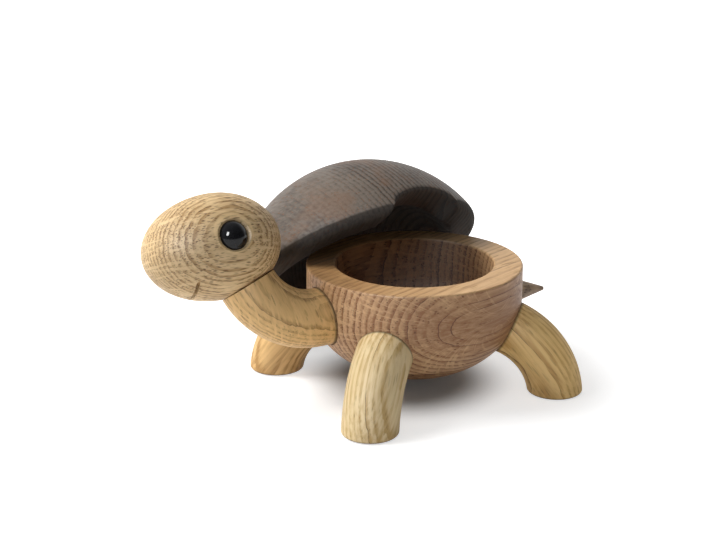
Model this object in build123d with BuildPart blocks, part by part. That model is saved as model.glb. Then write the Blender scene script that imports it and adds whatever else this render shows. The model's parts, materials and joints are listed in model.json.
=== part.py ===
"""Turned-wood turtle: a bowl on four bent legs, a turning neck and head, and a domed shell as its lid.

The origin is on the ground under the bowl's centre, +X runs to the head, +Y to the turtle's left, +Z up.
The pieces stand as they are shown: neck turned to the right, shell lifted off and leant on the bowl.
"""
import os
from math import asin, atan2, cos, hypot, radians, sin, sqrt, tan

from build123d import *

# Bowl
bowl_radius = 42.0
bowl_wall = 11.3
rim_height = 48.7  # mouth above the ground
bowl_band = 13.5  # upright stretch of the side, below the mouth
belly_gap = 3.7  # underside above the ground
cavity_depth = 28.0
cavity_corner = 12.0
rim_round = 0.8

# Legs
leg_radius = 10.7
leg_bend = 29.4
leg_azimuth = 42.4  # each leg's angle from the long axis
foot_reach = 56.2  # foot's centre from the bowl's axis
foot_slope = 85.0  # how steeply a leg meets the ground
foot_round = 1.2
leg_dowel_radius = 3.0
leg_dowel_in_bowl = 7.0
leg_dowel_in_leg = 9.0

# Neck
neck_radius = 11.1
neck_below_rim = 15.3  # root axis below the bowl's mouth
neck_socket = 5.0  # how deep the root sits in the bowl
neck_straight = 2.1  # straight stretch outside the bowl
neck_bend = 25.2
neck_slope = 70.0  # slope at the head's seat
neck_turn = -28.0  # turned to the turtle's right
neck_dowel_radius = 4.0
neck_dowel_in_bowl = 4.0
neck_dowel_in_neck = 13.0

# Head
head_radius = 20.0
head_front = 28.8  # widest section to the nose
head_back = 25.2  # widest section to the nape
head_forward = 9.3  # widest section ahead of the neck's end
head_rise = 16.3  # head's axis above the neck's end
head_nod = 1.5  # how far the nose dips
head_dowel_radius = 4.0
head_dowel_in_head = 14.0
head_dowel_in_neck = 12.0
mouth_forward = 14.6  # saw cut ahead of the widest section
mouth_drop = 13.2  # top of the saw cut below the head's axis
mouth_kerf = 1.2

# Eyes
eye_radius = 5.5
eye_height = 3.6
eye_recess_radius = 7.5
eye_recess_depth = 1.5
eye_stem_radius = 1.5
eye_stem_length = 9.0

# Tail
tail_radius = 6.5
tail_length = 20.9
tail_tip_radius = 1.0
tail_below_rim = 19.1  # axis below the bowl's mouth where it leaves the bowl
tail_droop = 6.0
tail_tenon_radius = 2.5
tail_tenon_length = 7.5

# Shell
shell_radius = 53.4
shell_height = 43.2
shell_lip = 3.0  # rounding of the rim's outer edge
shell_seat = 2.0  # how far its rim lies on the bowl's rim when it is on
hollow_depth = 29.0
arch_half_width = 17.4
arch_height = 8.3
shell_perch = 20.9  # bowl's rim from the middle of the hollow, up the slope of the leaning shell
shell_side = 2.5  # where it leans, from the turtle's right towards its head
shell_spin = 101.0  # how far it is turned about its own axis
shell_floor_gap = 0.3
shell_bowl_gap = 0.4

# Clearances
glue_line = 0.05
running_fit = 0.05
socket_fit = 0.3
end_gap = 0.2
hole_relief = 0.5  # free depth past a dowel's end

# Sizes that follow from those above
belly_depth = rim_height - bowl_band - belly_gap
cavity_radius = bowl_radius - bowl_wall
neck_height = rim_height - neck_below_rim
tail_height = rim_height - tail_below_rim
hollow_radius = bowl_radius - shell_seat
leg_azimuths = {
    "front_left_leg": leg_azimuth,
    "front_right_leg": -leg_azimuth,
    "rear_left_leg": 180 - leg_azimuth,
    "rear_right_leg": 180 + leg_azimuth,
}


def bowl_radius_at(height):
    """Radius of the bowl's outside at a height above the ground."""
    below_band = max(0.0, rim_height - bowl_band - height)
    return bowl_radius * sqrt(max(0.0, 1 - (below_band / belly_depth) ** 2))


# The legs' axes: level inside the bowl, bending down to the feet
leg_root_reach = foot_reach - leg_bend * sin(radians(foot_slope))
leg_root_height = leg_bend * (1 - cos(radians(foot_slope)))


def leg_axis_at(slope):
    """Reach and height of a leg's axis where it slopes down by this many degrees."""
    turn = radians(slope)
    return leg_root_reach + leg_bend * sin(turn), leg_root_height - leg_bend * (1 - cos(turn))


# The slope at which a leg's axis leaves the bowl, found by halving
inside_slope, outside_slope = 0.0, foot_slope
for _ in range(40):
    leg_joint_slope = (inside_slope + outside_slope) / 2
    joint_reach, joint_height = leg_axis_at(leg_joint_slope)
    if joint_reach < bowl_radius_at(joint_height):
        inside_slope = leg_joint_slope
    else:
        outside_slope = leg_joint_slope


def leg_frame(azimuth, reach, height, slope):
    """Plane square to a leg's axis, facing away from the bowl, with its Y direction up."""
    side = radians(azimuth)
    out = Vector(cos(side), sin(side), 0)
    along = out * cos(radians(slope)) - Vector(0, 0, sin(radians(slope)))
    return Plane(origin=out * reach + Vector(0, 0, height), x_dir=(-sin(side), cos(side), 0), z_dir=along)


# The neck's own frame: X along its root, Z up in the plane of its bend
neck_frame = Plane(
    origin=(0, 0, neck_height),
    x_dir=(1, 0, 0),
    z_dir=(0, sin(radians(neck_turn)), cos(radians(neck_turn))),
)
neck_seat = bowl_radius - neck_socket
neck_bend_start = bowl_radius + neck_straight
neck_end_x = neck_bend_start + neck_bend * sin(radians(neck_slope))
neck_end_z = neck_bend * (1 - cos(radians(neck_slope)))
neck_root_plane = Plane(
    origin=neck_frame.from_local_coords((neck_seat, 0, 0)), x_dir=neck_frame.y_dir, z_dir=neck_frame.x_dir
)
neck_end_direction = neck_frame.x_dir * cos(radians(neck_slope)) + neck_frame.z_dir * sin(radians(neck_slope))
neck_end_plane = Plane(
    origin=neck_frame.from_local_coords((neck_end_x, 0, neck_end_z)),
    x_dir=neck_frame.y_dir,
    z_dir=neck_end_direction,
)
head_seat_plane = neck_end_plane.offset(end_gap)
nod = radians(head_nod)
head_frame = Plane(
    origin=neck_frame.from_local_coords((neck_end_x + head_forward, 0, neck_end_z + head_rise)),
    x_dir=neck_frame.x_dir * cos(nod) - neck_frame.z_dir * sin(nod),
    z_dir=neck_frame.z_dir * cos(nod) + neck_frame.x_dir * sin(nod),
)


def spun(plane, angle):
    """The plane turned in itself by an angle in degrees."""
    turn = radians(angle)
    return Plane(plane.origin, x_dir=plane.x_dir * cos(turn) + plane.y_dir * sin(turn), z_dir=plane.z_dir)


# The tail's frame: Z along its axis, away from the bowl
tail_root = Vector(-bowl_radius_at(tail_height), 0, tail_height)
tail_frame = Plane(
    origin=tail_root,
    x_dir=(0, 1, 0),
    z_dir=(-cos(radians(tail_droop)), 0, -sin(radians(tail_droop))),
)

# The shell's frame: its rim stands on the ground behind the bowl, whose far edge reaches into its hollow
lip_reach = shell_radius - shell_lip
perch_reach = lip_reach + shell_perch
perch_rise = rim_height - shell_floor_gap - shell_lip
lean = asin(perch_rise / hypot(perch_reach, shell_lip)) + atan2(shell_lip, perch_reach)
shell_z = shell_floor_gap + shell_lip + lip_reach * sin(lean) - shell_lip * cos(lean)
hollow_half_chord = sqrt((hollow_radius - shell_bowl_gap) ** 2 - shell_perch**2)
shell_reach = (rim_height - shell_z) / tan(lean) + sqrt(bowl_radius**2 - hollow_half_chord**2)
aside = Vector(sin(radians(shell_side)), -cos(radians(shell_side)), 0)
shell_upright = Plane(
    origin=aside * shell_reach + Vector(0, 0, shell_z),
    x_dir=(cos(radians(shell_side)), sin(radians(shell_side)), 0),
    z_dir=aside * sin(lean) + Vector(0, 0, cos(lean)),
)
shell_frame = spun(shell_upright, shell_spin)

pieces = {}

# Outside of the bowl, and the same a glue line larger to cope what is glued to it
mouth_section = Plane(origin=(0, 0, rim_height), x_dir=(1, 0, 0), z_dir=(0, -1, 0))
outsides = []
for margin in (0, glue_line):
    with BuildPart() as outside:
        with BuildSketch(mouth_section):
            with BuildLine():
                side = bowl_radius + margin
                depth = belly_depth + margin
                Polyline((0, -bowl_band - depth), (0, 0), (side, 0), (side, -bowl_band))
                EllipticalCenterArc((0, -bowl_band), side, depth, start_angle=270, arc_size=90)
            make_face()
        revolve(axis=Axis.Z)
    outsides.append(outside.part)
bowl_blank, coping = outsides

# Bowl
with BuildPart() as bowl:
    add(bowl_blank)
    with BuildSketch(mouth_section):
        with BuildLine():
            corner_x = cavity_radius - cavity_corner
            corner_z = cavity_corner - cavity_depth
            Polyline(
                (corner_x, -cavity_depth),
                (0, -cavity_depth),
                (0, 0),
                (cavity_radius, 0),
                (cavity_radius, corner_z),
            )
            RadiusArc((cavity_radius, corner_z), (corner_x, -cavity_depth), cavity_corner)
        make_face()
    revolve(axis=Axis.Z, mode=Mode.SUBTRACT)
    fillet(bowl.faces().sort_by(Axis.Z)[-1].edges(), rim_round)
    with BuildSketch(neck_root_plane):
        Circle(neck_radius + socket_fit)
    extrude(amount=2 * neck_socket, mode=Mode.SUBTRACT)
    with BuildSketch(neck_root_plane):
        Circle(neck_dowel_radius + running_fit)
    extrude(amount=-neck_dowel_in_bowl - hole_relief, mode=Mode.SUBTRACT)
    for azimuth in leg_azimuths.values():
        joint = leg_frame(azimuth, joint_reach, joint_height, leg_joint_slope)
        with BuildSketch(joint.offset(-leg_dowel_in_bowl - hole_relief)):
            Circle(leg_dowel_radius + glue_line)
        extrude(amount=2 * leg_dowel_in_bowl, mode=Mode.SUBTRACT)
    with BuildSketch(tail_frame.offset(-tail_tenon_length - hole_relief)):
        Circle(tail_tenon_radius + glue_line)
    extrude(amount=2 * tail_tenon_length, mode=Mode.SUBTRACT)
pieces["bowl"] = bowl.part

# Legs, each with the dowel in its joint
for name, azimuth in leg_azimuths.items():
    root = leg_frame(azimuth, leg_root_reach, leg_root_height, 0)
    joint = leg_frame(azimuth, joint_reach, joint_height, leg_joint_slope)
    bend_axis = Axis(root.origin - root.y_dir * leg_bend, root.x_dir)
    with BuildPart() as leg:
        with BuildSketch(root):
            Circle(leg_radius)
        revolve(axis=bend_axis, revolution_arc=foot_slope)
        extrude(leg.faces().sort_by(Axis.Z)[0], amount=leg_radius)
        split(bisect_by=Plane.XY, keep=Keep.TOP)
        fillet(leg.faces().sort_by(Axis.Z)[0].edges(), foot_round)
        add(coping, mode=Mode.SUBTRACT)
        with BuildSketch(joint.offset(leg_dowel_in_leg + hole_relief)):
            Circle(leg_dowel_radius + glue_line)
        extrude(amount=-2 * leg_dowel_in_leg, mode=Mode.SUBTRACT)
    with BuildPart() as leg_dowel:
        with BuildSketch(joint.offset(-leg_dowel_in_bowl)):
            Circle(leg_dowel_radius)
        extrude(amount=leg_dowel_in_bowl + leg_dowel_in_leg)
    pieces[name] = leg.part
    pieces[name + "_dowel"] = leg_dowel.part

# Tail
with BuildPart() as tail:
    with BuildSketch(Plane(tail_frame.origin, x_dir=tail_frame.x_dir, z_dir=-tail_frame.y_dir)):
        with BuildLine():
            Polyline(
                (0, tail_length),
                (0, -tail_radius),
                (tail_radius * (1 + tail_radius / tail_length), -tail_radius),
                (tail_tip_radius, tail_length - tail_tip_radius),
            )
            RadiusArc((tail_tip_radius, tail_length - tail_tip_radius), (0, tail_length), -tail_tip_radius)
        make_face()
    revolve(axis=Axis(tail_frame.origin, tail_frame.z_dir))
    add(coping, mode=Mode.SUBTRACT)
    with BuildSketch(tail_frame.offset(-tail_tenon_length)):
        Circle(tail_tenon_radius)
    extrude(amount=tail_tenon_length + tail_radius)
pieces["tail"] = tail.part

# Neck, with the dowels that it and the head turn on
with BuildPart() as neck:
    with BuildSketch(neck_root_plane.offset(end_gap)):
        Circle(neck_radius)
    extrude(amount=neck_bend_start - neck_seat - end_gap)
    bend_centre = neck_frame.from_local_coords((neck_bend_start, 0, neck_bend))
    with BuildSketch(neck_root_plane.offset(neck_bend_start - neck_seat)):
        Circle(neck_radius)
    revolve(axis=Axis(bend_centre, -neck_frame.y_dir), revolution_arc=neck_slope)
    with BuildSketch(neck_root_plane):
        Circle(neck_dowel_radius + glue_line)
    extrude(amount=neck_dowel_in_neck + hole_relief, mode=Mode.SUBTRACT)
    with BuildSketch(neck_end_plane):
        Circle(head_dowel_radius + glue_line)
    extrude(amount=-head_dowel_in_neck - hole_relief, mode=Mode.SUBTRACT)
pieces["neck"] = neck.part

with BuildPart() as neck_dowel:
    with BuildSketch(neck_root_plane.offset(-neck_dowel_in_bowl)):
        Circle(neck_dowel_radius)
    extrude(amount=neck_dowel_in_bowl + neck_dowel_in_neck)
pieces["neck_dowel"] = neck_dowel.part

with BuildPart() as head_dowel:
    with BuildSketch(neck_end_plane.offset(-head_dowel_in_neck)):
        Circle(head_dowel_radius)
    extrude(amount=head_dowel_in_neck + head_dowel_in_head)
pieces["head_dowel"] = head_dowel.part

# Head: an egg made of two half ellipses, flat where the neck meets it
head_section = Plane(head_frame.origin, x_dir=head_frame.x_dir, z_dir=-head_frame.y_dir)
eye_planes = {
    "left_eye": Plane(
        head_frame.origin + head_frame.y_dir * head_radius, x_dir=head_frame.x_dir, z_dir=head_frame.y_dir
    ),
    "right_eye": Plane(
        head_frame.origin - head_frame.y_dir * head_radius, x_dir=head_frame.x_dir, z_dir=-head_frame.y_dir
    ),
}
with BuildPart() as head:
    with BuildSketch(head_section):
        with BuildLine():
            EllipticalCenterArc((0, 0), head_front, head_radius, start_angle=0, arc_size=90)
            EllipticalCenterArc((0, 0), head_back, head_radius, start_angle=90, arc_size=90)
            Line((-head_back, 0), (head_front, 0))
        make_face()
    revolve(axis=Axis(head_frame.origin, head_frame.x_dir))
    split(bisect_by=head_seat_plane, keep=Keep.TOP)
    with BuildSketch(head_seat_plane):
        Circle(head_dowel_radius + running_fit)
    extrude(amount=head_dowel_in_head + hole_relief, mode=Mode.SUBTRACT)
    mouth_centre = head_frame.from_local_coords((mouth_forward, 0, -mouth_drop))
    with BuildSketch(Plane(mouth_centre, x_dir=head_frame.y_dir, z_dir=head_frame.x_dir)):
        Rectangle(2 * head_radius, head_radius, align=(Align.CENTER, Align.MAX))
    extrude(amount=mouth_kerf / 2, both=True, mode=Mode.SUBTRACT)
    for eye_plane in eye_planes.values():
        with BuildSketch(eye_plane.offset(-eye_recess_depth)):
            Circle(eye_radius + glue_line)
        with BuildSketch(eye_plane):
            Circle(eye_recess_radius)
        loft(mode=Mode.SUBTRACT)
        with BuildSketch(eye_plane.offset(-eye_recess_depth)):
            Circle(eye_stem_radius + glue_line)
        extrude(amount=-eye_stem_length - hole_relief, mode=Mode.SUBTRACT)
pieces["head"] = head.part

# Eyes: a domed button on a stem
eye_dome_radius = (eye_radius**2 + eye_height**2) / (2 * eye_height)
for name, eye_plane in eye_planes.items():
    seat = eye_plane.offset(-eye_recess_depth)
    with BuildPart() as eye:
        with BuildSketch(Plane(seat.origin, x_dir=seat.x_dir, z_dir=-seat.y_dir)):
            with BuildLine():
                Polyline(
                    (0, eye_height),
                    (0, -eye_stem_length),
                    (eye_stem_radius, -eye_stem_length),
                    (eye_stem_radius, 0),
                    (eye_radius, 0),
                )
                RadiusArc((eye_radius, 0), (0, eye_height), -eye_dome_radius)
            make_face()
        revolve(axis=Axis(seat.origin, seat.z_dir))
    pieces[name] = eye.part

# Shell: a domed cap, hollow below, with an arch over the neck
shell_dome_radius = (shell_radius**2 + shell_height**2) / (2 * shell_height)
hollow_dome_radius = (hollow_radius**2 + hollow_depth**2) / (2 * hollow_depth)
with BuildPart() as shell_lid:
    with BuildSketch(Plane(shell_frame.origin, x_dir=shell_frame.x_dir, z_dir=-shell_frame.y_dir)) as profile:
        with BuildLine():
            Line((hollow_radius, 0), (shell_radius, 0))
            RadiusArc((shell_radius, 0), (0, shell_height), -shell_dome_radius)
            Line((0, shell_height), (0, hollow_depth))
            RadiusArc((0, hollow_depth), (hollow_radius, 0), hollow_dome_radius)
        make_face()
        fillet(profile.vertices().sort_by(Axis.X)[-1], shell_lip)
    revolve(axis=Axis(shell_frame.origin, shell_frame.z_dir))
    with BuildSketch(Plane(shell_frame.origin, x_dir=shell_frame.y_dir, z_dir=shell_frame.x_dir)):
        Ellipse(arch_half_width, arch_height)
    extrude(amount=2 * shell_radius, mode=Mode.SUBTRACT)
pieces["shell_lid"] = shell_lid.part

os.makedirs("parts", exist_ok=True)
for name, piece in pieces.items():
    piece.label = name
    export_step(piece, f"parts/{name}.step")
print(f"{len(pieces)} pieces; leg joint slope {leg_joint_slope:.1f} deg; shell centre {shell_frame.origin}")
print("neck end", neck_end_plane.origin, "direction", neck_end_direction)
print("shell lift direction", shell_frame.z_dir, "head axis point", head_frame.origin)
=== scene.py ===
# %% [markdown]
# # A turned-wood turtle
# The figure is a small oak bowl on four bent legs, with a neck and an egg-shaped head that turn on
# dowels, a cone for a tail and a smoked-oak shell that lifts off as a lid. The solids come in as a fixed
# frame, in metres, with +X to the head, +Y to the turtle's left and +Z up. What is left to do here is to
# sand the shell and to make every piece look like the wood that it was cut from.

# %% Load the solids
import json
from math import cos, pi, radians, sin, sqrt

import bpy
from mathutils import Matrix, Vector


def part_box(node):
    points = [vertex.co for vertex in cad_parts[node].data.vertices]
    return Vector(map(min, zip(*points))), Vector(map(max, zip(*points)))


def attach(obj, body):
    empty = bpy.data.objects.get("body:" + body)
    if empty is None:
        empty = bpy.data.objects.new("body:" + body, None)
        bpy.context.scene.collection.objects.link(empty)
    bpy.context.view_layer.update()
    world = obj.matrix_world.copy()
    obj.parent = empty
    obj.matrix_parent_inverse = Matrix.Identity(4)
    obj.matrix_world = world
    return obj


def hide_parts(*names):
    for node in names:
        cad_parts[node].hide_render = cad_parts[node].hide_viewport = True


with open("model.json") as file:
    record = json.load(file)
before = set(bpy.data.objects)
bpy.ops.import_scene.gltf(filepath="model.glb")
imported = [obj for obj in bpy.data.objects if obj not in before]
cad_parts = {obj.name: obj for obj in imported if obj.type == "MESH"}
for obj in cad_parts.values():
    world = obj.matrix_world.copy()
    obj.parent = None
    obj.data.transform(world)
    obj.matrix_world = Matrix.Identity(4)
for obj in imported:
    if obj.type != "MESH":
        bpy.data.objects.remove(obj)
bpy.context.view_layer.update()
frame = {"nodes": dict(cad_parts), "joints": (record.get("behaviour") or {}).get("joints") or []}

MM = 0.001
nodes = frame["nodes"]
print("solids:", ", ".join(sorted(nodes)))

# %% [markdown]
# ## A way to write node maths
# Wood is a rule about where a point lies in the trunk, so its material is mostly arithmetic. Writing that
# with one node call per sum is hard to read. The class below holds one socket: Python's own operators on
# it add Math nodes, and `node` adds any other node. The same class serves materials and Geometry Nodes.


# %% Sockets that take Python's operators
class Wire:
    """One output socket of a node tree, or the tree's empty start when it has no socket."""

    def __init__(self, tree, socket=None):
        self.tree = tree
        self.socket = socket

    def node(self, kind, settings=None, inputs=None, out=0):
        """Adds a node: its settings first, then its sockets' values or links. Gives one of its outputs."""
        node = self.tree.nodes.new(kind)
        for key, value in (settings or {}).items():
            setattr(node, key, value)
        for key, value in (inputs or {}).items():
            if isinstance(value, Wire):
                self.tree.links.new(value.socket, node.inputs[key])
            else:
                node.inputs[key].default_value = value
        return Wire(self.tree, node.outputs[out])

    def other(self, out):
        """Another output of the same node."""
        return Wire(self.tree, self.socket.node.outputs[out])

    def math(self, operation, *values):
        """A Math node on this value and any others."""
        return self.node("ShaderNodeMath", {"operation": operation}, dict(enumerate((self, *values))))

    def __add__(self, other):
        return self.math("ADD", other)

    def __sub__(self, other):
        return self.math("SUBTRACT", other)

    def __mul__(self, other):
        return self.math("MULTIPLY", other)

    def __truediv__(self, other):
        return self.math("DIVIDE", other)

    def __pow__(self, other):
        return self.math("POWER", other)

    __radd__ = __add__
    __rmul__ = __mul__

    def __rsub__(self, other):
        return self * -1.0 + other

    def __abs__(self):
        return self.math("ABSOLUTE")

    def root(self):
        """The square root, with nothing below zero let in."""
        return self.math("MAXIMUM", 0.0) ** 0.5

    def clamp(self):
        return self.node("ShaderNodeClamp", None, {"Value": self})

    def ramp(self, low, high):
        """0 below low, 1 above high, smooth between; low may be the larger one."""
        settings = {"interpolation_type": "SMOOTHSTEP"}
        return self.node("ShaderNodeMapRange", settings, {"Value": self, "From Min": low, "From Max": high})

    def tint(self, colour_a, colour_b, blend="MIX"):
        """Mixes two colours by this value."""
        settings = {"data_type": "RGBA", "clamp_factor": True, "blend_type": blend}
        return self.node("ShaderNodeMix", settings, {0: self, 6: colour_a, 7: colour_b}, 2)

    def vector(self, operation, *values, out=0):
        """A Vector Math node on this vector and any others."""
        inputs = dict(enumerate((self, *values)))
        return self.node("ShaderNodeVectorMath", {"operation": operation}, inputs, out)


def colour(red, green, blue):
    """A shader colour from 8-bit sRGB numbers, as a colour picker shows them."""
    levels = [level / 255 for level in (red, green, blue)]
    linear = [level / 12.92 if level <= 0.04045 else ((level + 0.055) / 1.055) ** 2.4 for level in levels]
    return (*linear, 1.0)


print("mid oak in linear light:", [round(c, 3) for c in colour(200, 170, 120)])

# %% [markdown]
# ## Oak
# At arm's length oak shows growth rings, whose spring wood is open and darker; pores, which are long thin
# tubes along the grain, so they are dashes on a side and dots on an end; a dark hairline where some rings
# begin, which comes and goes; pale rays that cross the rings; darker heartwood near the middle; and soft
# streaks of colour along the grain. A flat picture of a board could be laid on each piece, but it would
# stretch on round faces. So all of this is laid out in the trunk instead: a Mapping node puts the middle
# of the trunk and the grain's direction where this piece was cut from. The curved faces then cut the
# rings as a lathe does, and the ovals round the eye and the arches on the bowl's side come by themselves.


# %% Where a piece lies in its trunk
def in_trunk(start, plank):
    """Coordinates in mm from the middle of a trunk, Z along the grain, for a plank cut from it."""
    along = Vector(plank["grain"]).normalized()
    face = Vector(plank["ring_normal"])
    face = (face - along * face.dot(along)).normalized()
    turn = Matrix((face.cross(along), face, along)).transposed().to_euler()
    heart = (Vector(plank["centre"]) - face * plank["trunk"]) * MM
    where = start.node("ShaderNodeTexCoord", out="Object")
    inputs = {"Vector": where, "Location": heart, "Rotation": turn, "Scale": (MM, MM, MM)}
    return start.node("ShaderNodeMapping", {"vector_type": "TEXTURE"}, inputs)


print("places in a trunk are in mm, with Z along the grain")

# %% Noise, pores and rays, in waves or cells per mm
PORES_ACROSS, PORES_ALONG = 1.15, 0.13
FINE_PORES_ACROSS, FINE_PORES_ALONG = 2.3, 0.3
RAYS_ROUND, RAYS_OUT, RAYS_ALONG = 0.9, 0.09, 0.11


def noise(spot, across, along, detail=2.0):
    """Soft noise with this many waves per mm across the grain and along it."""
    stretched = spot.vector("MULTIPLY", (across, across, along))
    return spot.node("ShaderNodeTexNoise", None, {"Vector": stretched, "Scale": 1.0, "Detail": detail}) - 0.5


def tubes(spot, across, along, crowd):
    """Long pores as dashes: one in each cell of this many per mm, kept where crowd and chance add up."""
    stretched = spot.vector("MULTIPLY", (across, across, along))
    cells = spot.node("ShaderNodeTexVoronoi", None, {"Vector": stretched, "Scale": 1.0})
    chance = spot.node("ShaderNodeSeparateColor", None, {"Color": cells.other("Color")})
    return cells.ramp(0.45, 0.2) * (chance + crowd).ramp(0.78, 0.92)


def rays(spot, radius, trunk):
    """The thin pale sheets that run out from the middle of the trunk and break up the rings."""
    place = spot.node("ShaderNodeSeparateXYZ", None, {0: spot})
    round_trunk = place.other(1).math("ARCTAN2", place) * trunk
    inputs = {"X": round_trunk * RAYS_ROUND, "Y": radius * RAYS_OUT, "Z": place.other(2) * RAYS_ALONG}
    unrolled = spot.node("ShaderNodeCombineXYZ", None, inputs)
    sheets = spot.node("ShaderNodeTexNoise", None, {"Vector": unrolled, "Scale": 1.0, "Detail": 1.0})
    return sheets.ramp(0.54, 0.66)


print("pores per mm:", PORES_ACROSS, "across the grain and", PORES_ALONG, "along it")

# %% Growth rings, which stray by some mm over the whole piece and by less from pore to pore
RING_SWAY = 6.0
RING_WOBBLE = 1.2


def growth(spot, ring):
    """Distance from the trunk's middle in mm, place in a ring from 0 to 1, and a chance number per ring."""
    across = spot.node("ShaderNodeSeparateXYZ", None, {0: spot})
    radius = (across * across + across.other(1) * across.other(1)).root()
    strayed = radius + noise(spot, 0.02, 0.006) * RING_SWAY + noise(spot, 0.35, 0.06) * RING_WOBBLE
    rings = strayed / ring
    age = spot.node("ShaderNodeTexWhiteNoise", {"noise_dimensions": "1D"}, {"W": rings.math("FLOOR")})
    return radius, rings.math("FRACT"), age


def dark_hairline(spot, phase, age):
    """A thin dark line where some rings begin, broken here and there."""
    whole = noise(spot, 0.2, 0.04).ramp(-0.1, 0.04)
    return phase.ramp(0.14, 0.04) * phase.ramp(0.0, 0.03) * age.ramp(0.55, 0.75) * whole


print("rings stray by up to", (RING_SWAY + RING_WOBBLE) / 2, "mm")

# %% The oak finish
OIL_SHEEN = 0.4
PORE_DEPTH = 0.14 * MM
RELIEF = 0.4


def oak(
    name, plank, stain, ring=2.6, dash=0.7, hair=0.6, contrast=0.7, gloss=0.5, streaks=0.9,
    open_pores=0.0, fine=1.0, ray=1.0, heartwood=0.0,
):
    """Oak from a plank's place in its trunk and three colours: late wood, spring wood and pores.

    ring is a ring's width in mm. dash, hair, streaks and ray say how strongly pores, hairlines, streaks and
    rays show, and contrast does for the rings. gloss is the roughness between pores. open_pores adds pores
    to the late wood, fine makes them smaller, and heartwood darkens the middle of the trunk.
    """
    late, spring_colour, pore = (colour(*tone) for tone in stain)
    material = bpy.data.materials.new(name)
    material.use_nodes = True
    shader = material.node_tree.nodes["Principled BSDF"]
    shader.inputs["Specular IOR Level"].default_value = OIL_SHEEN
    start = Wire(material.node_tree)
    spot = in_trunk(start, plank)

    radius, phase, age = growth(spot, ring)
    spring = phase.ramp(0.0, 0.05) * phase.ramp(0.62, 0.12) * (0.55 + 0.6 * age)
    heart = 0.0
    if "bands" in plank:
        banded = radius.ramp(*plank["bands"])
        spring = spring * (0.2 + 0.8 * banded)
        heart = (1 - banded) * heartwood
    hairline = dark_hairline(spot, phase, age) * hair
    streak = noise(spot, 0.8, 0.02, 3.0)
    cloud = noise(spot, 0.05, 0.015)
    pale_rays = rays(spot, radius, plank["trunk"]) * ray

    crowd = spring * 0.8 + open_pores
    long_pores = tubes(spot, PORES_ACROSS * fine, PORES_ALONG * fine, crowd)
    fine_pores = tubes(spot, FINE_PORES_ACROSS, FINE_PORES_ALONG, crowd * 0.6) * 0.5
    pores = (long_pores + fine_pores) * (1 - pale_rays * 0.8)
    band = spring * (1 - pale_rays * 0.7) * (0.75 * contrast) - pale_rays * (0.2 * contrast)
    depth = band + streak * streaks + cloud * 0.8 + heart + 0.3
    wood = depth.ramp(0.0, 1.0).tint(late, spring_colour)
    finish = (pores * dash + hairline).tint(wood, pore)

    height = 1 - pores - hairline * 0.6 - spring * 0.15 + streak * 0.2
    bump = start.node("ShaderNodeBump", None, {"Strength": RELIEF, "Distance": PORE_DEPTH, "Height": height})
    rough = gloss + pores * 0.2 + streak * 0.15
    for socket, value in {"Base Color": finish, "Roughness": rough, "Normal": bump}.items():
        material.node_tree.links.new(value.socket, shader.inputs[socket])
    print("oak for", name)
    return material


# %% Giving a solid its finish, and staining it or painting shade on it in places
def wear(node, material):
    """Gives a solid its finish."""
    nodes[node].data.materials.clear()
    nodes[node].data.materials.append(material)


def retouch(material, mask, stain, blend="MIX", dull=0.0):
    """Lays a colour over a finish where a mask is 1, as a stain or as painted shade, or filters it with
    MULTIPLY, and dulls it there.
    """
    tree = material.node_tree
    shader = tree.nodes["Principled BSDF"]
    under = Wire(tree, shader.inputs["Base Color"].links[0].from_socket)
    tree.links.new(mask.tint(under, colour(*stain), blend).socket, shader.inputs["Base Color"])
    rough = Wire(tree, shader.inputs["Roughness"].links[0].from_socket)
    tree.links.new((rough + mask * dull).clamp().socket, shader.inputs["Roughness"])


# %% [markdown]
# ## The bowl
# The bowl was turned on a lathe from a small trunk. The trunk's middle lay level, pointed nearly to the
# head and just grazed the turtle's left side. There the wall cuts the rings at a flat angle, as arches in
# darker heartwood. Nearer the neck it cuts them across, as upright bands of open pores. The solid has the
# right shape already, so only its finish is made. The inside is duller, and darker with painted shade
# that is deepest on the side towards the head. The rim's top is paler and more even, and has painted shade
# on that side too, where the head and the shell shade it. Height and distance from the bowl's axis tell
# these apart.


# %% The bowl
def heading(azimuth, rise=0.0):
    """A direction from its angle to the long axis, with some rise."""
    return Vector((cos(radians(azimuth)), sin(radians(azimuth)), rise))


bowl_low, bowl_high = (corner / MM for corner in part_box("bowl"))
bowl_radius = (bowl_high.y - bowl_low.y) / 2
bowl_plank = {
    "grain": heading(18, -0.03),
    "ring_normal": heading(-72),
    "centre": (0, 0, 36),
    "trunk": 42.4,
    "bands": (5.0, 22.0),
}
bowl_stain = ((206, 166, 122), (142, 97, 62), (92, 58, 36))
bowl_oak = oak("bowl_oak", bowl_plank, bowl_stain, ring=2.8, hair=1.0, heartwood=0.44)
print("bowl radius", round(bowl_radius, 2), "mm")

# %% The bowl's inside and rim
bowl_wall = 11.3
mouth_radius = bowl_radius - bowl_wall
bowl_start = Wire(bowl_oak.node_tree)
bowl_spot = bowl_start.node("ShaderNodeTexCoord", out="Object").vector("DIVIDE", (MM, MM, MM))
bowl_place = bowl_start.node("ShaderNodeSeparateXYZ", None, {0: bowl_spot})
from_axis = (bowl_place * bowl_place + bowl_place.other(1) * bowl_place.other(1)).root()
inside = from_axis.ramp(mouth_radius + 0.9, mouth_radius + 0.3)
on_rim = bowl_place.other(2).ramp(bowl_high.z - 0.7, bowl_high.z - 0.1)
to_front = bowl_spot.vector("DOT_PRODUCT", heading(-32), out="Value")
# Painted shade inside the bowl, deepest on the side towards the head; the same mask makes it duller.
painted_inside_shade = inside * (0.1 + 0.9 * to_front.ramp(-34, 0))
retouch(bowl_oak, painted_inside_shade, (176, 164, 152), "MULTIPLY", dull=0.3)
retouch(bowl_oak, on_rim * 0.35, (214, 180, 130))
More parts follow.
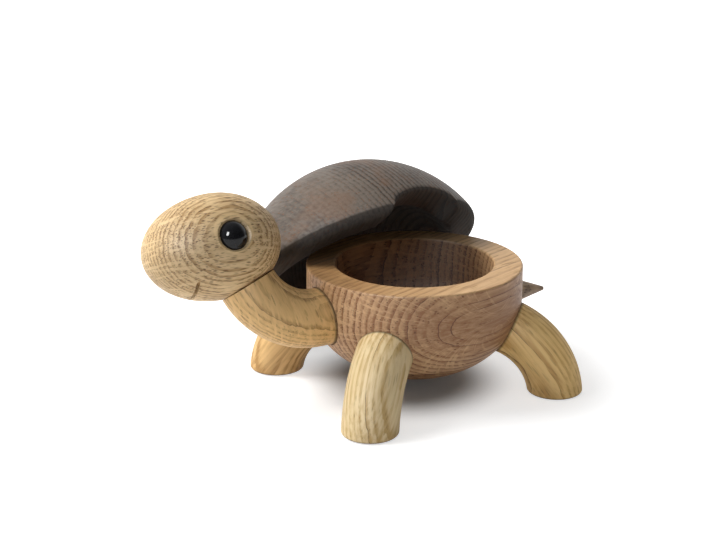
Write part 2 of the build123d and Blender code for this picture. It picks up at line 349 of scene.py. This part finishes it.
# Painted shade on the rim's top on the side towards the head, where the head and the shell shade it.
retouch(bowl_oak, on_rim * to_front.ramp(-20, 30), (224, 212, 196), "MULTIPLY")
wear("bowl", bowl_oak)
print("mouth radius", round(mouth_radius, 2), "mm")

# %% [markdown]
# ## The head
# The head is an egg, turned from wood whose rings face sideways. That draws ovals round the eyes and dots
# the nose with open pores. Each eye sits in a drilled seat whose edge was sanded paler. A ring-shaped
# mask does that: the distance from the line through both eyes says where the edge is, on both sides at
# once.

# %% The head
neck_turn = radians(28)
side_of_head = Vector((0, cos(neck_turn), sin(neck_turn)))
head_middle = sum(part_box("head"), Vector()) / 2 / MM
head_plank = {"grain": (1, 0, 0.05), "ring_normal": side_of_head, "centre": head_middle, "trunk": 60.0}
head_stain = ((217, 188, 142), (164, 129, 83), (92, 62, 33))
head_oak = oak(
    "head_oak", head_plank, head_stain, ring=1.4, dash=0.85, contrast=0.9, open_pores=0.45, fine=1.6
)
left_eye, right_eye = (sum(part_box(node), Vector()) / 2 for node in ("left_eye", "right_eye"))
eye_line = (left_eye - right_eye).normalized()
head_spot = Wire(head_oak.node_tree).node("ShaderNodeTexCoord", out="Object")
off_line = head_spot.vector("SUBTRACT", left_eye).vector("CROSS_PRODUCT", eye_line)
from_line = off_line.vector("LENGTH", out="Value") / MM
seat_edge = from_line.ramp(5.9, 6.5) * from_line.ramp(8.0, 7.5)
retouch(head_oak, seat_edge * 0.5, (232, 202, 150))
wear("head", head_oak)
print("head's middle", [round(v, 1) for v in head_middle], "mm")

# %% [markdown]
# ## Neck and legs
# These are bent pieces sawn from straight wood, so their grain runs straight from root to foot and the
# bend cuts across it. The legs come from three boards: a pale one, a tan one and a warm one. Where a
# piece is let into the bowl, a thin dark line of painted shade stands for the shadow in the joint, and
# each foot has painted shade at its very end, where it meets the floor. A thin ring of mesh could stand
# for the line, but painted shade follows the joint exactly. Its place comes from the bowl's outside,
# which is a straight band above half an ellipse.


# %% Painted shade at the joints and the feet
# Colour of the painted shade at the joints and at the ends of the feet.
CONTACT_SHADE = (62, 42, 26)
band_depth = 13.5
belly_depth = bowl_high.z - bowl_low.z - band_depth
band_foot = bowl_high.z - band_depth


def paint_contact_shade(material):
    """Paints shade on a finish within about a millimetre of the bowl's outside, and of the floor."""
    start = Wire(material.node_tree)
    spot = start.node("ShaderNodeTexCoord", out="Object").vector("DIVIDE", (MM, MM, MM))
    place = start.node("ShaderNodeSeparateXYZ", None, {0: spot})
    below = (place.other(2) - band_foot).math("MINIMUM", 0.0) / belly_depth
    out = (place * place + place.other(1) * place.other(1)) / bowl_radius**2
    # Painted shade where the piece meets the bowl.
    retouch(material, (out + below * below).root().ramp(1.03, 1.004) * 0.75, CONTACT_SHADE)
    # Painted shade at the foot's end, next to the floor.
    retouch(material, place.other(2).ramp(1.0, 0.3) * 0.7, CONTACT_SHADE)


print("the bowl's belly is", round(belly_depth, 1), "mm deep, under a band of", band_depth, "mm")

# %% Neck and legs
neck_plank = {"grain": (0.2, -0.45, 0.85), "ring_normal": side_of_head, "centre": (56, -3, 40), "trunk": 90.0}
neck_stain = ((232, 192, 130), (180, 140, 84), (114, 82, 44))
neck_oak = oak("neck_oak", neck_plank, neck_stain, ring=1.6, dash=0.4)
paint_contact_shade(neck_oak)
wear("neck", neck_oak)

pale_board = ((228, 206, 160), (190, 156, 98), (116, 86, 46))
warm_board = ((250, 212, 140), (206, 160, 92), (128, 92, 48))
tan_board = ((218, 180, 122), (172, 132, 78), (114, 82, 44))
up = Vector((0, 0, 1))
leg_azimuth = 42.4
leg_reach = 48.0
leg_middle = 14.0
for node, azimuth, board in (
    ("front_left_leg", leg_azimuth, pale_board),
    ("front_right_leg", -leg_azimuth, tan_board),
    ("rear_left_leg", 180 - leg_azimuth, warm_board),
    ("rear_right_leg", 180 + leg_azimuth, warm_board),
):
    out = heading(azimuth)
    leg_plank = {
        "grain": out * 0.64 - up * 0.77,
        "ring_normal": heading(azimuth + 68),
        "centre": out * leg_reach + up * leg_middle,
        "trunk": 90.0,
    }
    leg_oak = oak(
        node + "_oak", leg_plank, board, ring=2.2, dash=0.3, hair=0.9, gloss=0.58, streaks=1.5, ray=0.4
    )
    paint_contact_shade(leg_oak)
    wear(node, leg_oak)

# %% [markdown]
# ## The shell's shape
# The shell is a dome with a hollow below, and an arch over the neck. Its shape is a rule, so Geometry
# Nodes can make it: each column of a grid goes once round, from the top of the dome, over the lip and the
# flat rim, into the top of the hollow. Where the arch is, the rim of that column is lifted to it. A few
# rounds of Blur on the positions then do what sandpaper does to the edges. Its place comes from the
# frame: the way that it lifts off is its axis, it stands on the floor, and the bowl's far edge reaches
# into its hollow.

# %% Sizes of the shell, and a tree with an input for each
shell_sizes = {
    "Rim radius": 53.4,
    "Dome height": 43.2,
    "Lip rounding": 3.0,
    "Hollow radius": bowl_radius - 2.0,
    "Hollow depth": 29.0,
    "Arch half width": 17.4,
    "Arch height": 8.3,
}


def tree_with(name, sizes):
    """A Geometry Nodes tree with one named input for each size. Gives a Wire for each."""
    tree = bpy.data.node_groups.new(name, "GeometryNodeTree")
    tree.interface.new_socket("Geometry", in_out="OUTPUT", socket_type="NodeSocketGeometry")
    for size in sizes:
        tree.interface.new_socket(size, in_out="INPUT", socket_type="NodeSocketFloat")
    entry = tree.nodes.new("NodeGroupInput")
    return tree, [Wire(tree, entry.outputs[size]) for size in sizes]


def run_tree(tree, sizes, name):
    """Runs a tree with these sizes and keeps what it makes as one plain mesh."""
    maker = bpy.data.objects.new(name + "_maker", bpy.data.meshes.new(name + "_maker"))
    bpy.context.scene.collection.objects.link(maker)
    modifier = maker.modifiers.new("shape", "NODES")
    modifier.node_group = tree
    for item in tree.interface.items_tree:
        if item.in_out == "INPUT":
            modifier[item.identifier] = sizes[item.name]
    graph = bpy.context.evaluated_depsgraph_get()
    mesh = bpy.data.meshes.new_from_object(maker.evaluated_get(graph), depsgraph=graph)
    bpy.data.objects.remove(maker)
    piece = bpy.data.objects.new(name, mesh)
    bpy.context.scene.collection.objects.link(piece)
    return piece


shell_tree, shell_inputs = tree_with("arched_shell", shell_sizes)
rim, height, lip, hollow, hollow_depth, arch_half, arch_height = shell_inputs
print("shell tree with", len(shell_inputs), "sizes")

# %% The grid's columns and rows
COLUMNS = 600
ROWS = {"dome": 46, "lip": 6, "rim": 12, "hollow": 26}
shell_start = Wire(shell_tree)
grid_inputs = {"Size X": 1.0, "Size Y": 1.0, "Vertices X": COLUMNS + 1, "Vertices Y": sum(ROWS.values()) + 1}
grid = shell_start.node("GeometryNodeMeshGrid", None, grid_inputs)
cell = shell_start.node("ShaderNodeSeparateXYZ", None, {0: shell_start.node("GeometryNodeInputPosition")})
turn = cell * (-2 * pi)
row = (cell.other(1) + 0.5) * sum(ROWS.values())
aside = turn.math("MAXIMUM", -pi / 2).math("MINIMUM", pi / 2).math("SINE")
shares, begun = {}, {}
first = 0
for section, count in ROWS.items():
    shares[section] = ((row - first) / count).clamp()
    begun[section] = row.math("GREATER_THAN", first + 0.5)
    first += count
print("grid of", COLUMNS, "columns and", first, "rows")


# %% The rule for the dome, the lip, the arch and the hollow
def arch_over(reach):
    """Height of the arch at this distance from the shell's axis, or 0 beside it."""
    off = reach * aside / arch_half
    return arch_height * (1 - off * off).root()


dome = (rim * rim + height * height) / (2.0 * height)
dome_drop = dome - height
ball = (hollow * hollow + hollow_depth * hollow_depth) / (2.0 * hollow_depth)
ball_drop = ball - hollow_depth
lip_reach = ((dome - lip) ** 2.0 - (lip + dome_drop) ** 2.0).root()
lip_top = (lip + dome_drop) * dome / (dome - lip) - dome_drop


def outside_at(level):
    """Distance of the outside from the axis: the lip's round below, the dome above."""
    on_dome = (dome * dome - (level + dome_drop) ** 2.0).root()
    on_lip = lip_reach + (lip * lip - (level - lip) ** 2.0).root()
    return on_dome + (on_lip - on_dome) * level.math("LESS_THAN", lip_top)


def hollow_at(level):
    """Distance of the hollow's wall from the axis."""
    return (ball * ball - (level + ball_drop) ** 2.0).root()


outer_level = arch_over(lip_reach)
inner_level = arch_over(hollow)
for _ in range(5):
    outer_level = arch_over(outside_at(outer_level))
    inner_level = arch_over(hollow_at(inner_level))
outer_reach = outside_at(outer_level)
inner_reach = hollow_at(inner_level)

# %% Points of each section, and the sanded mesh
dome_end = ((outer_level.math("MAXIMUM", lip_top) + dome_drop) / dome).math("ARCCOSINE")
dome_angle = dome_end * shares["dome"]
lip_from = ((lip_top - lip) / lip).math("ARCSINE")
lip_to = ((outer_level.math("MINIMUM", lip_top) - lip) / lip).math("ARCSINE")
lip_angle = lip_from + (lip_to - lip_from) * shares["lip"]
lip_cut = outer_level.math("GREATER_THAN", lip_top)
rim_reach = outer_reach + (inner_reach - outer_reach) * shares["rim"]
hollow_angle = ((inner_level + ball_drop) / ball).math("ARCCOSINE") * (1 - shares["hollow"])


def cut_lip(free, edge):
    """The lip's round, or the dome's edge where the arch has cut the lip away."""
    return free + (edge - free) * lip_cut


sections = {
    "lip": (
        cut_lip(lip_reach + lip * lip_angle.math("COSINE"), outer_reach),
        cut_lip(lip + lip * lip_angle.math("SINE"), outer_level),
    ),
    "rim": (rim_reach, arch_over(rim_reach)),
    "hollow": (ball * hollow_angle.math("SINE"), ball * hollow_angle.math("COSINE") - ball_drop),
}
reach = dome * dome_angle.math("SINE")
level = dome * dome_angle.math("COSINE") - dome_drop
for section, (section_reach, section_level) in sections.items():
    reach = reach + (section_reach - reach) * begun[section]
    level = level + (section_level - level) * begun[section]
point_inputs = {"X": reach * turn.math("COSINE") * MM, "Y": reach * turn.math("SINE") * MM, "Z": level * MM}
point = shell_start.node("ShaderNodeCombineXYZ", None, point_inputs)
bent = shell_start.node("GeometryNodeSetPosition", None, {"Geometry": grid, "Position": point})
WELD = 0.02 * MM
SANDING = 5
closed = shell_start.node("GeometryNodeMergeByDistance", None, {"Geometry": bent, "Distance": WELD})
spot_now = shell_start.node("GeometryNodeInputPosition")
blurred = shell_start.node(
    "GeometryNodeBlurAttribute", {"data_type": "FLOAT_VECTOR"}, {"Value": spot_now, "Iterations": SANDING}
)
sanded = shell_start.node("GeometryNodeSetPosition", None, {"Geometry": closed, "Position": blurred})
print("sanded", SANDING, "rounds")

# %% [markdown]
# ## Smoked oak
# The shell and the tail are the same oak after fuming, which turns the tannin in the wood grey brown
# right through. The outside of the shell is oiled and buffed to a grey sheen, with soft patches and open
# pores that stay a warmer brown. Its rim, arch and hollow are left unbuffed, so they are duller, and they
# face down into shade, which is painted on them by darkening the same rings. They could be a second
# material on some faces, but a mask keeps one finish that runs over the edge: what tells the two apart
# is the distance from the middle of the dome.

# %% Where the shell stands
lift = next(Vector(joint["axis"]) for joint in frame["joints"] if joint["name"] == "shell_lift")
lean = lift.angle(Vector((0, 0, 1)))
behind = Vector((lift.x, lift.y, 0)).normalized()
floor_gap, bowl_gap = 0.3, 0.4
lip_size = shell_sizes["Lip rounding"]
shell_z = floor_gap + lip_size + (shell_sizes["Rim radius"] - lip_size) * sin(lean) - lip_size * cos(lean)
perch = (bowl_high.z - shell_z) / sin(lean)
half_chord_squared = (shell_sizes["Hollow radius"] - bowl_gap) ** 2 - perch**2
shell_reach = perch * cos(lean) + sqrt(bowl_radius**2 - half_chord_squared)
shell_middle = behind * shell_reach + Vector((0, 0, shell_z))
print("shell stands at", [round(v, 2) for v in shell_middle], "mm")

# %% Smoked oak for the shell and the tail
shell_plank = {
    "grain": (0, 0.75, 0.66),
    "ring_normal": (0.98, 0.13, 0.15),
    "centre": (0, -60, 60),
    "trunk": 90.0,
    "bands": (114.0, 96.0),
}
smoke = ((106, 96, 86), (50, 42, 36), (118, 80, 54))
shell_oak = oak(
    "shell_smoked_oak", shell_plank, smoke,
    ring=2.0, dash=0.55, hair=0.3, contrast=1.0, gloss=0.5, open_pores=0.06, ray=0.3,
)
dome_height = shell_sizes["Dome height"]
ball_size = (shell_sizes["Rim radius"] ** 2 + dome_height**2) / (2 * dome_height)
ball_middle = shell_middle + lift * (dome_height - ball_size)
shade_start = Wire(shell_oak.node_tree)
shell_spot = shade_start.node("ShaderNodeTexCoord", out="Object")
from_middle = shell_spot.vector("DISTANCE", ball_middle * MM, out="Value") / MM
warm_patch = noise(in_trunk(shade_start, shell_plank), 0.07, 0.03, 4.0).ramp(-0.02, 0.14)
retouch(shell_oak, warm_patch * 0.4, (112, 82, 60))
# Painted shade on the rim, arch and hollow, which face down; the same mask makes them duller.
painted_underside_shade = from_middle.ramp(ball_size - 0.1, ball_size - 0.35)
retouch(shell_oak, painted_underside_shade * 0.96, (130, 120, 110), "MULTIPLY", dull=0.4)

tail_plank = {"grain": (-1, 0, -0.1), "ring_normal": (0, 0.9, 0.4), "centre": (-52, 0, 28), "trunk": 90.0}
tail_smoke = ((176, 148, 118), (122, 98, 74), (70, 52, 40))
tail_oak = oak("tail_smoked_oak", tail_plank, tail_smoke, gloss=0.46)
wear("tail", tail_oak)
print("dome's ball", round(ball_size, 2), "mm in radius")

# %% The shell, in its place
smooth = shell_start.node("GeometryNodeSetShadeSmooth", None, {0: sanded})
real = shell_start.node("GeometryNodeRealizeInstances", None, {0: smooth})
dressed = shell_start.node("GeometryNodeSetMaterial", None, {"Geometry": real, "Material": shell_oak})
shell_exit = shell_tree.nodes.new("NodeGroupOutput")
shell_tree.links.new(dressed.socket, shell_exit.inputs[0])
shell = run_tree(shell_tree, shell_sizes, "shell")

shell_spin = radians(101.0)
level_side = Vector((-behind.y, behind.x, 0))
up_slope = lift.cross(level_side)
spun_x = level_side * cos(shell_spin) + up_slope * sin(shell_spin)
shell_turn = Matrix((spun_x, lift.cross(spun_x), lift)).transposed().to_4x4()
shell.data.transform(Matrix.Translation(shell_middle * MM) @ shell_turn)
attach(shell, "shell")
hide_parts("shell_lid")
print("shell mesh of", len(shell.data.polygons), "faces")

# %% [markdown]
# ## Eyes and dowels
# The eyes are glossy black buttons. A real one is never one even black: its lacquer has faint clouds, so
# a fine noise moves both its colour and its roughness a little. The dowels are plain beech, hidden in
# their holes. The oak finish serves for them too, in closer tones.

# %% Eyes and dowels
LACQUER_SHEEN = 0.22
CLOUDS_PER_M = 900.0
eye_black = bpy.data.materials.new("eye_black")
eye_black.use_nodes = True
eye_shader = eye_black.node_tree.nodes["Principled BSDF"]
eye_shader.inputs["Specular IOR Level"].default_value = LACQUER_SHEEN
eye_start = Wire(eye_black.node_tree)
eye_spot = eye_start.node("ShaderNodeTexCoord", out="Object")
eye_cloud = eye_start.node("ShaderNodeTexNoise", None, {"Vector": eye_spot, "Scale": CLOUDS_PER_M})
eye_tone = eye_cloud.tint(colour(8, 8, 10), colour(22, 22, 26))
eye_rough = 0.04 + eye_cloud * 0.06
eye_black.node_tree.links.new(eye_tone.socket, eye_shader.inputs["Base Color"])
eye_black.node_tree.links.new(eye_rough.socket, eye_shader.inputs["Roughness"])
wear("left_eye", eye_black)
wear("right_eye", eye_black)
dowel_plank = {"grain": (1, 0, 0), "ring_normal": (0, 1, 0), "centre": (0, 0, 30), "trunk": 110.0}
beech = oak("dowel_beech", dowel_plank, ((214, 176, 134), (186, 146, 104), (150, 110, 76)))
for node in nodes:
    if node.endswith("dowel"):
        wear(node, beech)
print("finished", len(nodes), "solids")

# %% [markdown]
# ## Camera
# The camera stands in front and to the turtle's left, a little above it, as someone at a table would look
# at it. A longish lens keeps the near leg and the far leg in proportion. The lamps are placed from the
# camera's own directions, so it comes first.

# %% Camera
lens = bpy.data.cameras.new("view")
lens.sensor_width = 36.0
lens.lens = 80.45
camera = bpy.data.objects.new("view", lens)
camera.location = (0.3099, 0.5036, 0.2394)
look = Vector((-0.4676, -0.8270, -0.3122))
camera.rotation_euler = look.to_track_quat("-Z", "Y").to_euler()
bpy.context.scene.collection.objects.link(camera)
bpy.context.scene.camera = camera
bpy.context.scene.view_settings.view_transform = "Standard"
view_right = look.cross(up).normalized()
to_viewer = view_right.cross(up)
print("camera at", tuple(round(v, 3) for v in camera.location))

# %% [markdown]
# ## Floor
# The figure stands on a pale sheet of paper. A brighter lamp could make the sheet white, but it would
# bleach the wood too. So the sheet adds a little light of its own, for rays from the camera and their
# mirror images only, and more of it away from the turtle. The object is lit at a plain level, and its
# soft shadow stays.


# %% Floor
def seen_by_camera(start):
    """1 on rays from the camera, also after a mirror or glass."""
    ray = start.node("ShaderNodeLightPath", out="Is Camera Ray")
    return ray.math("MAXIMUM", ray.other("Is Glossy Ray")).math("MAXIMUM", ray.other("Is Transmission Ray"))


SHEET_SIZE = 8.0
SHEET_DROP = 0.2 * MM
bpy.ops.mesh.primitive_plane_add(size=SHEET_SIZE, location=(0, 0, -SHEET_DROP))
floor = bpy.context.object
floor.name = "floor"
paper = bpy.data.materials.new("white_paper")
paper.use_nodes = True
paper_start = Wire(paper.node_tree)
seen = seen_by_camera(paper_start)
fibre = paper_start.node("ShaderNodeTexNoise", None, {"Scale": 60.0})
sheet_seen = fibre.tint((0.62, 0.62, 0.62, 1), (0.65, 0.65, 0.65, 1))
sheet_colour = seen.tint((0.8, 0.8, 0.8, 1), sheet_seen)
sheet = paper_start.node("ShaderNodeBsdfDiffuse", None, {"Color": sheet_colour})
sheet_spot = paper_start.node("ShaderNodeTexCoord", out="Object")
shadow_middle = Vector((3, -2, 0)) * MM
from_shadow = sheet_spot.vector("DISTANCE", shadow_middle, out="Value")
near_glow = 0.6 * from_shadow.ramp(0.021, 0.046)
far_glow = 0.38 * from_shadow.ramp(0.06, 0.2)
glow_inputs = {"Color": (1, 1, 1, 1), "Strength": seen * (0.02 + near_glow + far_glow)}
glow = paper_start.node("ShaderNodeEmission", None, glow_inputs)
both = paper_start.node("ShaderNodeAddShader", None, {0: sheet, 1: glow})
paper.node_tree.links.new(both.socket, paper.node_tree.nodes["Material Output"].inputs["Surface"])
floor.data.materials.append(paper)
print("floor sheet,", SHEET_SIZE, "m square")

# %% [markdown]
# ## Light
# The light is that of a small studio. One lamp on the left, 45 degrees up, models the forms and throws
# the shadow. It is kept out of reflections, where it would show as a patch on the satin rim. A second
# lamp in front is seen in reflections alone and puts the bright spot in the eyes. The sky is stronger on
# the left and behind. The camera sees it as plain white, and so do reflections of what lies behind the
# turtle, like those of a paper backdrop.

# %% Sky
SKY = 0.4
LEFT_SHARE = 0.6
BACK_SHARE = 0.3
world = bpy.data.worlds.new("studio_sky")
bpy.context.scene.world = world
world.use_nodes = True
sky = world.node_tree.nodes["Background"]
sky.inputs["Color"].default_value = (1, 1, 1, 1)
sky_start = Wire(world.node_tree)
way = sky_start.node("ShaderNodeTexCoord", out="Generated")
from_left = way.vector("DOT_PRODUCT", -view_right, out="Value")
from_behind = way.vector("DOT_PRODUCT", -to_viewer, out="Value")
climb = sky_start.node("ShaderNodeSeparateXYZ", None, {0: way}, 2)
backdrop = from_behind.ramp(0.2, 0.6) * climb.ramp(0.75, 0.35)
sky_level = SKY * (1 + LEFT_SHARE * from_left + BACK_SHARE * from_behind)
ray = sky_start.node("ShaderNodeLightPath", out="Is Camera Ray")
mirrored = ray.other("Is Glossy Ray").math("MAXIMUM", ray.other("Is Transmission Ray"))
white = ray.math("MAXIMUM", backdrop * mirrored)
world.node_tree.links.new((sky_level + (1 - sky_level) * white).socket, sky.inputs["Strength"])
print("sky at", SKY, "of white")


# %% Lamps
def softbox(name, place, width, height, power, aim):
    """A rectangular lamp at a place, facing a point."""
    lamp = bpy.data.lights.new(name, "AREA")
    lamp.shape = "RECTANGLE"
    lamp.size = width
    lamp.size_y = height
    lamp.energy = power
    holder = bpy.data.objects.new(name, lamp)
    holder.location = place
    holder.rotation_euler = (aim - place).to_track_quat("-Z", "Y").to_euler()
    bpy.context.scene.collection.objects.link(holder)
    print(name, [round(v, 2) for v in place], power, "W")
    return holder


KEY_POWER = 23.0
CATCH_POWER = 17.0
bowl_middle = Vector((0, 0, 0.04))
key_place = up * 0.97 - view_right * 0.95 - to_viewer * 0.1
key = softbox("key_softbox", key_place, 0.8, 0.8, KEY_POWER, bowl_middle)
key.visible_glossy = False
catch_place = left_eye + up * 0.583 - view_right * 0.354 + to_viewer * 0.731
catch = softbox("catch_light", catch_place, 0.25, 0.45, CATCH_POWER, left_eye)
catch.visible_diffuse = False
